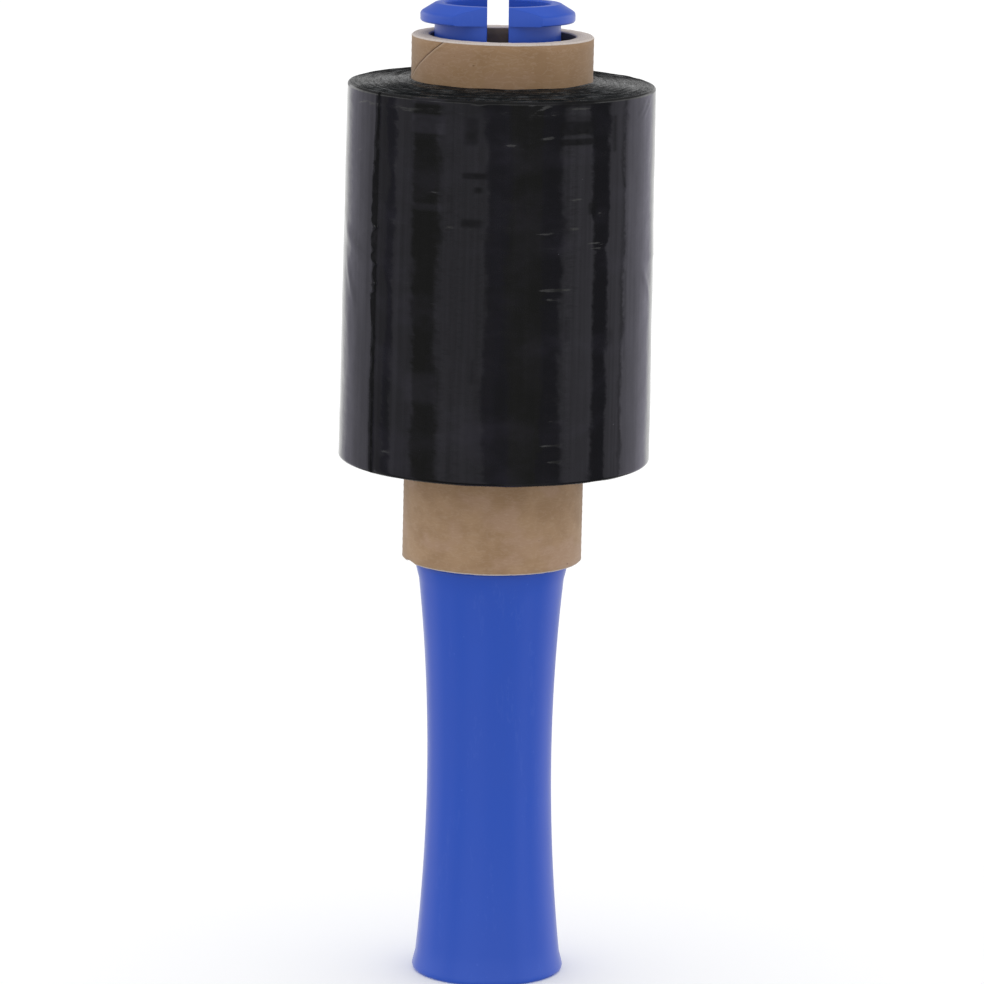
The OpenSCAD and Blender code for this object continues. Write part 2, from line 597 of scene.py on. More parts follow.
@dataclass(frozen=True)
class KraftBoard:
    """Matt brown paperboard, with fibres, shives and soft mottling."""

    axis: RollAxis
    face: Colour = srgb(173, 142, 111)
    shade: Colour = srgb(161, 130, 99)
    pink: Colour = srgb(176, 145, 121)
    fibre: Colour = srgb(200, 176, 154)
    shive: Colour = srgb(96, 68, 50)
    groove: Colour = srgb(78, 55, 40)
    aged: Colour = srgb(146, 115, 82)
    aged_from: float = 90.0
    aged_full: float = 130.0
    aged_share: float = 0.55
    fleck_share: float = 0.16
    shive_share: float = 0.6
    lip_share: float = 0.55

    def build(self, effects: Effects) -> Material:
        """Builds the core's rolled face, with the seam between two plies.

        Args:
            effects: the shared effects.

        Returns:
            The material.
        """
        material, sheet, shader = material_sheet("kraft_board")
        place = sheet.upright(self.axis)
        mottle = effects.use(sheet, "grain", place, Fine=1900.0, Slow=150.0)
        blush = effects.use(sheet, "grain", sheet.stretched(place, 0.13, 0.2), Fine=2.0, Slow=0.5)
        fibres = effects.use(sheet, "scuffs", sheet.stretched(place, 0.05, 0.16), Scale=6.0, Cover=0.3)
        pale_way, dark_way = sheet.stretched(place, 0.5, 1.1), sheet.stretched(place, 0.4, 0.7)
        flecks = effects.use(sheet, "specks", pale_way, Scale=1.0, Size=0.3, Rarity=0.8)
        shives = effects.use(sheet, "specks", dark_way, Scale=1.0, Size=0.12, Rarity=0.95)
        soft = sheet.span(mottle["Slow Mask"], 0.35, 0.66)
        blotched = sheet.mix(soft, self.face, self.shade)
        rosy = sheet.span(blush["Slow Mask"], 0.5, 0.62, 0.0, 0.7)
        blushed = sheet.mix(rosy, blotched, self.pink)
        height = sheet.split(place)["Z"]
        older = sheet.span(height, self.aged_from * MM, self.aged_full * MM, 0.0, self.aged_share)
        paper = sheet.mix(older, blushed, self.aged)
        light = sheet.math("MAXIMUM", fibres["Mask"], flecks["Mask"])
        pale = sheet.times(light, self.fleck_share)
        haired = sheet.mix(pale, paper, self.fibre)
        marked = sheet.mix(sheet.times(shives["Mask"], self.shive_share), haired, self.shive)
        lip = sheet.mark(CardboardCore.LIP_MARK)
        groove = sheet.mark(CardboardCore.GROOVE_MARK)
        lipped = sheet.mix(sheet.times(lip, self.lip_share), marked, self.fibre)
        sheet.feed(shader, Base_Color=sheet.mix(groove, lipped, self.groove))
        sheet.feed(shader, Roughness=sheet.span(mottle["Fine Mask"], 0.2, 0.8, 0.74, 0.9))
        shader.inputs["Specular IOR Level"].default_value = 0.35
        shader.inputs["Sheen Weight"].default_value = 0.22
        shader.inputs["Sheen Roughness"].default_value = 0.45
        relief = sheet.math("ADD", mottle["Height"], sheet.times(fibres["Mask"], 0.2))
        sheet.feed(shader, Normal=sheet.bump(relief, 0.35, 0.05))
        return material


@dataclass(frozen=True)
class BoreLiner:
    """The grey-brown ply that lines the bore, burnished by the spindle."""

    axis: RollAxis
    liner: Colour = srgb(120, 104, 86)
    burnished: Colour = srgb(98, 85, 70)

    def build(self, effects: Effects) -> Material:
        """Builds the liner of the bore.

        Args:
            effects: the shared effects.

        Returns:
            The material.
        """
        material, sheet, shader = material_sheet("kraft_board_liner")
        mottle = effects.use(sheet, "grain", sheet.upright(self.axis), Fine=1800.0, Slow=120.0)
        worn = sheet.span(mottle["Slow Mask"], 0.35, 0.65)
        sheet.feed(shader, Base_Color=sheet.mix(worn, self.liner, self.burnished))
        sheet.feed(shader, Roughness=sheet.span(mottle["Slow Mask"], 0.3, 0.7, 0.85, 0.6))
        sheet.feed(shader, Normal=sheet.bump(mottle["Height"], 0.3, 0.05))
        return material


@dataclass(frozen=True)
class BoardEdge:
    """The cut ends of the board: paler, woolly, in thin plies."""

    axis: RollAxis
    pale: Colour = srgb(202, 192, 185)
    glue: Colour = srgb(146, 127, 112)
    ply_mm: float = 0.6

    def build(self, effects: Effects) -> Material:
        """Builds the cut ends.

        Args:
            effects: the shared effects.

        Returns:
            The material.
        """
        material, sheet, shader = material_sheet("kraft_board_edge")
        place = sheet.upright(self.axis)
        radius, _ = sheet.from_axis(place)
        wool = effects.use(sheet, "grain", place, Fine=2600.0, Slow=500.0)
        counted = sheet.math("DIVIDE", radius, self.ply_mm * MM)
        waver = sheet.scaled(wool["Slow Mask"], 0.5, counted)
        lines = sheet.span(sheet.math("PINGPONG", waver, 0.5), 0.0, 0.16, 1.0, 0.0)
        paper = sheet.mix(sheet.times(lines, 0.6), self.pale, self.glue)
        stain = sheet.span(wool["Fine Mask"], 0.45, 0.75, 0.0, 0.4)
        sheet.feed(shader, Base_Color=sheet.mix(stain, paper, self.glue))
        shader.inputs["Roughness"].default_value = 0.92
        shader.inputs["Specular IOR Level"].default_value = 0.2
        sheet.feed(shader, Normal=sheet.bump(wool["Height"], 0.6, 0.12))
        return material


@dataclass(frozen=True)
class BlackFilm:
    """Glossy black stretch film, wound tight, with slack waves, dull patches and hazy patches whose lighter
    colour is partly haze and partly a painted reflection.
    """

    axis: RollAxis
    tint: Colour = srgb(28, 28, 29)
    cloudy: Colour = srgb(36, 35, 40)
    # Lighter colour of the hazy patches: partly haze, partly a painted reflection of brighter surroundings.
    haze_and_painted_reflection: Colour = srgb(45, 44, 50)
    dust: Colour = srgb(110, 110, 118)
    roughness: float = 0.05
    dust_share: float = 0.5
    dulling: float = 0.95

    def build(self, effects: Effects) -> Material:
        """Builds the film's rolled face.

        Args:
            effects: the shared effects.

        Returns:
            The material.
        """
        material, sheet, shader = material_sheet("black_film")
        place = sheet.upright(self.axis)
        clouds = effects.use(sheet, "grain", sheet.stretched(place, 0.06, 0.1), Fine=9.0, Slow=1.0)
        dust = effects.use(sheet, "specks", place, Scale=520.0, Size=0.07, Rarity=0.975)
        cloudy = clouds["Slow Mask"]
        uneven = sheet.span(clouds["Fine Mask"], 0.35, 0.65, 0.8, 1.0)
        patch = sheet.mark(WoundFilm.PATCH_MARK)
        # Where the patch mark is above 0.5 the colour turns lighter: partly haze, partly a painted
        # reflection.
        haze_and_painted_reflection = sheet.times(sheet.span(patch, 0.5, 1.0), uneven)
        dull = sheet.times(sheet.span(patch, 0.5, 0.0), uneven)
        base = sheet.mix(sheet.span(cloudy, 0.45, 0.75), self.tint, self.cloudy)
        dusty = sheet.times(dust["Mask"], self.dust_share)
        with_haze_and_painted_reflection = sheet.mix(haze_and_painted_reflection, base, self.haze_and_painted_reflection)
        sheet.feed(shader, Base_Color=sheet.mix(dusty, with_haze_and_painted_reflection, self.dust))
        sheet.feed(shader, Roughness=sheet.span(cloudy, 0.3, 0.75, self.roughness, self.roughness + 0.05))
        streaks = sheet.noise(sheet.stretched(place, 0.6, 0.012), 1.0, 3.0, 0.6)
        gloss = sheet.span(streaks, 0.3, 0.7, 0.4, 0.58)
        dimmed = sheet.scaled(dull, -self.dulling, 1.0)
        sheet.feed(shader, Specular_IOR_Level=sheet.times(gloss, dimmed))
        long_waves = sheet.noise(sheet.stretched(place, 0.16, 0.55), 1.0, 2.0, 0.5)
        fine_waves = sheet.noise(sheet.stretched(place, 0.5, 1.6), 1.0, 2.0, 0.5)
        dents = sheet.noise(sheet.stretched(place, 0.24, 0.3), 1.0, 1.0, 0.5)
        waves = sheet.scaled(fine_waves, 0.25, long_waves)
        relief = sheet.scaled(dents, 1.6, waves)
        sheet.feed(shader, Normal=sheet.bump(relief, 0.6, 0.05))
        return material


@dataclass(frozen=True)
class TailShadow:
    """The gap beside the film's loose end, painted near-black as the shadow under the lifted edge, with
    random lighter patches.
    """

    axis: RollAxis
    # dark is the painted shadow under the lifted tail; dull is a lighter random tone within that painted
    # shadow.
    dark: Colour = srgb(13, 13, 15)
    dull: Colour = srgb(34, 33, 37)

    def build(self, effects: Effects) -> Material:
        """Builds the painted shadow in the gap beside the loose end.

        Args:
            effects: the shared effects.

        Returns:
            The material.
        """
        material, sheet, shader = material_sheet("black_film_tail_shadow")
        clouds = effects.use(sheet, "grain", sheet.upright(self.axis), Fine=900.0, Slow=240.0)
        dusty = sheet.span(clouds["Slow Mask"], 0.5, 0.75)
        # The gap's colour is a painted shadow, lighter in random patches.
        sheet.feed(shader, Base_Color=sheet.mix(dusty, self.dark, self.dull))
        sheet.feed(shader, Roughness=sheet.span(clouds["Slow Mask"], 0.3, 0.7, 0.5, 0.65))
        shader.inputs["Specular IOR Level"].default_value = 0.1
        return material


@dataclass(frozen=True)
class FilmEdge:
    """The roll's end faces: hundreds of film edges, glistening where light grazes them.

    The edges' pattern has turns_mm features a millimetre across and round_mm round the roll.
    """

    axis: RollAxis
    dark: Colour = srgb(20, 22, 24)
    worn: Colour = srgb(52, 55, 58)
    turns_mm: float = 5.5
    round_mm: float = 0.12

    def build(self, effects: Effects) -> Material:
        """Builds the film's end faces.

        Args:
            effects: the shared effects.

        Returns:
            The material.
        """
        material, sheet, shader = material_sheet("black_film_edge")
        place = sheet.upright(self.axis)
        radius, way = sheet.from_axis(place)
        round_about = (sheet.times(way[name], self.round_mm / MM) for name in ("X", "Y"))
        turns = sheet.joined(sheet.times(radius, self.turns_mm / MM), *round_about)
        ridges = sheet.noise(turns, 1.0, 2.0, 0.6)
        scratch = effects.use(sheet, "grain", sheet.stretched(place, 1.0, 1.0), Fine=1.6, Slow=0.35)
        uneven = sheet.times(ridges, scratch["Slow Mask"])
        worn = sheet.span(uneven, 0.24, 0.4)
        sheet.feed(shader, Base_Color=sheet.mix(worn, self.dark, self.worn))
        sheet.feed(shader, Roughness=sheet.span(scratch["Fine Mask"], 0.35, 0.65, 0.12, 0.32))
        sheet.feed(shader, Specular_IOR_Level=sheet.span(uneven, 0.2, 0.36, 0.12, 0.8))
        height = sheet.scaled(scratch["Fine Mask"], 0.4, ridges)
        sheet.feed(shader, Normal=sheet.bump(height, 1.0, 0.15))
        return material


@dataclass
class Handle:
    """The one-piece moulded handle: grip, spindle and two snap fingers."""

    base_radius: float = 20.15
    waist_radius: float = 16.55
    waist_height: float = 57.0
    seat_radius: float = 20.1
    grip_height: float = 111.9
    lip_out: float = 0.35
    lip_height: float = 5.0
    lip_land: float = 1.4
    lip_round: float = 0.9
    lip_blend: float = 4.0
    wall: float = 2.5
    root_radius: float = 18.05
    neck_radius: float = 16.45
    root_fillet: float = 0.6
    catch_radius: float = 20.2
    catch_height: float = 255.2
    catch_land: float = 2.6
    catch_round: float = 0.6
    ramp_round: float = 1.2
    top_height: float = 260.1
    rim_break: float = 0.4
    slot_width: float = 5.65
    slot_depth: float = 60.0
    flat_off: float = 0.1
    waist_steps: int = 18
    columns: int = 128
    edge_break: float = 0.22
    flash_rise: float = 0.07
    flash_half_width: float = 0.16
    tool_clear: float = 4.0
    flats_below: float = 6.0
    root_gap: float = 0.02
    broken_below: float = 40.0
    sharp_deg: float = 24.0
    smooth_deg: float = 38.0

    def grip_radius(self, height: float) -> float:
        """Works out the radius of the waisted grip.

        Args:
            height: height above the underside.

        Returns:
            The radius.
        """
        low = height < self.waist_height
        end = (self.base_radius if low else self.seat_radius) - self.lip_out
        rise = self.waist_height if low else self.grip_height - self.waist_height
        return self.waist_radius + (end - self.waist_radius) * ((height - self.waist_height) / rise) ** 2

    def outline(self) -> Outline:
        """Returns the moulding's outline, up the outside and down the hollow."""
        bore = min(self.neck_radius, self.waist_radius) - self.wall
        steps = 2 * self.waist_steps
        base = self.base_radius
        corners = [(base, 0.0, self.lip_round), (base, self.lip_land, self.lip_blend)]
        for step in range(steps + 1):
            height = self.lip_height + (self.grip_height - 2 * self.lip_height) * step / steps
            corners.append((self.grip_radius(height), height, 0.0))
        corners += [
            (self.seat_radius, self.grip_height - self.lip_land, self.lip_blend),
            (self.seat_radius, self.grip_height, self.lip_round),
            (self.root_radius, self.grip_height, self.root_fillet),
            (self.neck_radius, self.catch_height, 0.0),
            (self.catch_radius, self.catch_height, self.catch_round),
            (self.catch_radius, self.catch_height + self.catch_land, self.ramp_round),
            (self.neck_radius, self.top_height, self.catch_round),
            (bore + self.rim_break, self.top_height, 0.0),
            (bore, self.top_height - self.rim_break, 0.0),
            (bore, self.waist_height + 1, 0.0),
        ]
        for step in range(self.waist_steps, -1, -1):
            height = self.waist_height * step / self.waist_steps
            corners.append((max(bore, self.grip_radius(height) - self.wall), height, 0.0))
        return rounded(corners)

    def raise_flash(self, bm: Mesh) -> None:
        """Raises the fine parting line where the mould's halves met, down both sides.

        Args:
            bm: the spun moulding, still whole.
        """
        for offset in (-self.flash_half_width, self.flash_half_width):
            bmesh.ops.bisect_plane(
                bm, geom=bm.verts[:] + bm.edges[:] + bm.faces[:], dist=0.0001,
                plane_co=(0, offset, 0), plane_no=(0, 1, 0),
            )
        for vert in bm.verts:
            outside = vert.normal.x * vert.co.x > 0.3 * abs(vert.co.x)
            if abs(vert.co.y) < TOUCH and outside:
                vert.co.x += math.copysign(self.flash_rise, vert.co.x)

    def cutter(self) -> bpy.types.Object:
        """Returns the tool that cuts the slot with its round root, and the two flats."""
        bm = bmesh.new()
        reach = self.catch_radius + self.tool_clear
        root = self.top_height - self.slot_depth
        top = self.top_height + self.tool_clear
        slot = bmesh.ops.create_cube(bm, size=1.0)["verts"]
        bmesh.ops.scale(bm, vec=(self.slot_width, 2 * reach, top - root), verts=slot)
        bmesh.ops.translate(bm, vec=(0, 0, (top + root) / 2), verts=slot)
        low_edges = [e for e in bm.edges if all(v.co.z < root + 1 for v in e.verts)
                     and abs(e.verts[0].co.y - e.verts[1].co.y) > reach]
        bmesh.ops.bevel(
            bm, geom=low_edges, offset=self.slot_width / 2 - self.root_gap, offset_type="OFFSET",
            segments=6, profile=0.5, affect="EDGES", material=-1,
        )
        flat = self.neck_radius + self.flat_off
        low = self.catch_height - self.flats_below
        for side in (-1, 1):
            block = bmesh.ops.create_cube(bm, size=1.0)["verts"]
            bmesh.ops.scale(bm, vec=(2 * reach, reach - flat, top - low), verts=block)
            bmesh.ops.translate(bm, vec=(0, side * (reach + flat) / 2, (top + low) / 2), verts=block)
        bmesh.ops.recalc_face_normals(bm, faces=bm.faces)
        return linked(bm, "cutter")

    def cut(self, bm: Mesh) -> Mesh:
        """Cuts slot and flats out of the spun moulding.

        Args:
            bm: the spun moulding. It is freed.

        Returns:
            The cut moulding.
        """
        blank = linked(bm, "blank")
        tool = self.cutter()
        modifier = blank.modifiers.new("cut", "BOOLEAN")
        modifier.operation = "DIFFERENCE"
        modifier.solver = "EXACT"
        modifier.use_self = True
        modifier.object = tool
        graph = bpy.context.evaluated_depsgraph_get()
        result = bmesh.new()
        result.from_object(blank, graph)
        for thing in (blank, tool):
            data = thing.data
            bpy.data.objects.remove(thing)
            bpy.data.meshes.remove(data)
        bmesh.ops.remove_doubles(result, verts=result.verts, dist=TOUCH)
        bmesh.ops.dissolve_degenerate(result, dist=TOUCH, edges=result.edges)
        return result

    def break_edges(self, bm: Mesh) -> None:
        """Softens the edges of slot and flats, as the mould leaves them.

        Args:
            bm: the cut moulding.
        """
        half = self.slot_width / 2
        flat = self.neck_radius + self.flat_off
        chosen = []
        for edge in bm.edges:
            if len(edge.link_faces) != 2 or edge.calc_face_angle_signed(0.0) < math.radians(self.sharp_deg):
                continue
            middle = (edge.verts[0].co + edge.verts[1].co) / 2
            on_slot = all(abs(abs(v.co.x) - half) < TOUCH for v in edge.verts)
            on_flat = all(abs(abs(v.co.y) - flat) < TOUCH for v in edge.verts)
            if on_slot and middle.z > self.catch_height - self.broken_below:
                chosen.append(edge)
            elif on_flat and middle.z > self.catch_height + 0.2:
                chosen.append(edge)
        bmesh.ops.bevel(
            bm, geom=chosen, offset=self.edge_break, offset_type="OFFSET", segments=2,
            profile=0.5, affect="EDGES", material=-1, clamp_overlap=True,
        )

    def build(self, effects: Effects) -> bpy.types.Object:
        """Builds the handle in place of the plain solid.

        Args:
            effects: the shared effects.

        Returns:
            The moulded handle.
        """
        bm = spun(self.outline(), self.columns)
        self.raise_flash(bm)
        bm = self.cut(bm)
        self.break_edges(bm)
        piece = finished(bm, "moulded_handle", Matrix.Identity(4), Body.HANDLE,
                         [BluePlastic().build(effects)])
        piece.data.set_sharp_from_angle(angle=math.radians(self.smooth_deg))
        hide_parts("handle")
        return piece


@dataclass
class CardboardCore:
    """The spiral-wound tube, with its ply seams, plies and rough cut ends."""

    GROOVE_MARK: ClassVar[str] = "seam_groove"
    LIP_MARK: ClassVar[str] = "seam_lip"

    axis: RollAxis
    bore_radius: float = 19.05
    radius: float = 23.85
    length: float = 139.6
    chamfer: float = 0.4
    plies: int = 8
    ply_groove: float = 0.07
    rows: int = 66
    columns: int = 216
    helix_lead: float = 96.6
    seam_at_top_deg: float = -39.0
    seam_half_width: float = 0.42
    seam_depth: float = 0.2
    seam_lip: float = 0.11
    inner_seam_share: float = 0.36
    paper_waver: float = 0.035
    paper_across: float = 7.0
    paper_up: float = 9.0
    cut_waver: float = 0.14
    cut_step: float = 1.6
    nick_deg: float = -66.0
    nick_half_deg: float = 7.0
    nick_depth: float = 0.5
    end_reach: float = 1.2
    squeeze: float = 0.45
    squeezed_columns: float = 4.0
    inner_seam_depth: float = 0.8

    def end_rings(self) -> list[float]:
        """Returns the radii of the ply edges across a cut end, from the outside in."""
        outer = self.radius - self.chamfer
        inner = self.bore_radius + self.chamfer
        return [outer + (inner - outer) * i / (2 * self.plies) for i in range(2 * self.plies + 1)]

    def outline(self) -> Outline:
        """Returns the tube's outline."""
        rings = self.end_rings()
        grooves = [self.ply_groove * (i % 2) for i in range(len(rings))]
        low = [(radius, groove) for radius, groove in zip(reversed(rings), grooves)]
        side = [(self.radius, self.chamfer + (self.length - 2 * self.chamfer) * i / self.rows)
                for i in range(self.rows + 1)]
        high = [(radius, self.length - groove) for radius, groove in zip(rings, grooves)]
        bore = [(self.bore_radius, height) for _, height in reversed(side)]
        return low + side + high + bore

    def seam_shape(self, off: float) -> float:
        """Returns how far the surface rises at a distance beside the seam, in millimetres."""
        half = self.seam_half_width
        return self.seam_lip * bell((off - 1.6 * half) / half) - self.seam_depth * bell(off / (0.6 * half))

    def wind_plies(self, bm: Mesh) -> None:
        """Twists the columns to the helix and works seams, waver and nick into them.

        Args:
            bm: the spun tube.
        """
        half = self.seam_half_width
        groove, lip = (bm.verts.layers.float.new(name) for name in (self.GROOVE_MARK, self.LIP_MARK))
        for vert in bm.verts:
            radius = math.hypot(vert.co.x, vert.co.y)
            share = (turn_of(vert.co) / math.tau) % 1.0
            outside = radius > self.radius - TOUCH
            off_turn = (share + 0.5) % 1.0 - 0.5
            squeeze = 1.0 - self.squeeze * bell(off_turn * self.columns / self.squeezed_columns)
            turn = off_turn * math.tau * squeeze
            off = turn * radius
            if outside:
                radius += self.seam_shape(off)
                vert[groove] = bell(off / (0.5 * half))
                vert[lip] = bell((off - 1.4 * half) / (0.8 * half))
            elif radius < self.bore_radius + TOUCH:
                inner = ((share - self.inner_seam_share + 0.5) % 1.0 - 0.5) * math.tau * radius
                radius -= self.seam_shape(inner) * self.inner_seam_depth
            height = vert.co.z
            turn += math.radians(self.seam_at_top_deg) + math.tau * (height - self.length) / self.helix_lead
            set_place(vert, turn, radius)
            across, up = self.paper_across, self.paper_up
            wave = self.paper_waver * ripple(vert.co.x / across, vert.co.y / across, height / up)
            set_place(vert, turn, radius + (wave if outside else -wave))
            self.roughen_end(vert, height, turn)

    def roughen_end(self, vert: bmesh.types.BMVert, height: float, turn: float) -> None:
        """Wavers a cut end and presses in the nick of the lower one.

        Args:
            vert: the vertex to move.
            height: its height on the straight tube.
            turn: its place round the roll, in radians.
        """
        from_end = min(height, self.length - height)
        fade = max(0.0, 1.0 - from_end / self.end_reach)
        if fade == 0.0:
            return
        step = self.cut_step
        rough = ripple(vert.co.x / step, vert.co.y / step, 3.0 if height < 1 else 9.0)
        inward = 1 if height < self.length / 2 else -1
        vert.co.z += inward * fade * self.cut_waver * (0.5 + 0.5 * rough)
        away = abs(math.degrees(apart(turn, self.nick_deg))) / self.nick_half_deg
        outer = math.hypot(vert.co.x, vert.co.y) > self.radius - self.end_reach
        if height < self.end_reach and away < 1 and outer:
            vert.co.z += self.nick_depth * fade * (1 - away * away)

    def build(self, effects: Effects) -> bpy.types.Object:
        """Builds the core in place of the plain solid.

        Args:
            effects: the shared effects.

        Returns:
            The core.
        """
        bm = spun(self.outline(), self.columns)
        for face in bm.faces:
            middle = face.calc_center_median()
            at_end = min(middle.z, self.length - middle.z) < self.chamfer * 0.9
            in_bore = math.hypot(middle.x, middle.y) < self.bore_radius + TOUCH
            face.material_index = 1 if at_end else 2 if in_bore else 0
        self.wind_plies(bm)
        finishes = (KraftBoard(self.axis), BoardEdge(self.axis), BoreLiner(self.axis))
        piece = finished(bm, "cardboard_core", self.axis.placing(), Body.ROLL,
                         [finish.build(effects) for finish in finishes])
        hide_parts("core")
        return piece


@dataclass(frozen=True)
class Crease:
    """A short crease that stands proud of the wound film.

    Args:
        turn_deg: place round the roll.
        height: place up the roll, from the core's lower end.
        length: length round the roll.
        rise: how far it stands proud.
        slope: how far it climbs for each millimetre round the roll.
        half: half of its width.
    """

    turn_deg: float
    height: float
    length: float
    rise: float = 0.09
    slope: float = 0.0
    half: float = 0.36


@dataclass(frozen=True)
class Ledge:
    """A stretch where the edge of a slack turn lies under the skin and tilts it.

    Args:
        turn_deg: middle of the stretch, round the roll.
        reach_deg: how far it runs to either side.
        height: its middle, up the roll.
        width: how high the tilted strip is.
        rise: how far the strip leans out over its height.
    """

    turn_deg: float
    reach_deg: float
    height: float
    width: float
    rise: float


@dataclass(frozen=True)
class Patch:
    """A patch where the film is lighter, partly from haze of air under the turns and partly as a painted
    reflection, or where its gloss is dulled.

    Args:
        turn_deg: its middle, round the roll.
        reach_deg: how far it runs to either side.
        height: its middle, up the roll.
        reach: how far it runs up and down.
        share: how far it is lightened, as haze and painted reflection, up to 1, or how dull, down to -1.
        fade: height over which its edges fade.
    """

    turn_deg: float
    reach_deg: float
    height: float
    reach: float
    share: float
    fade: float = 1.0


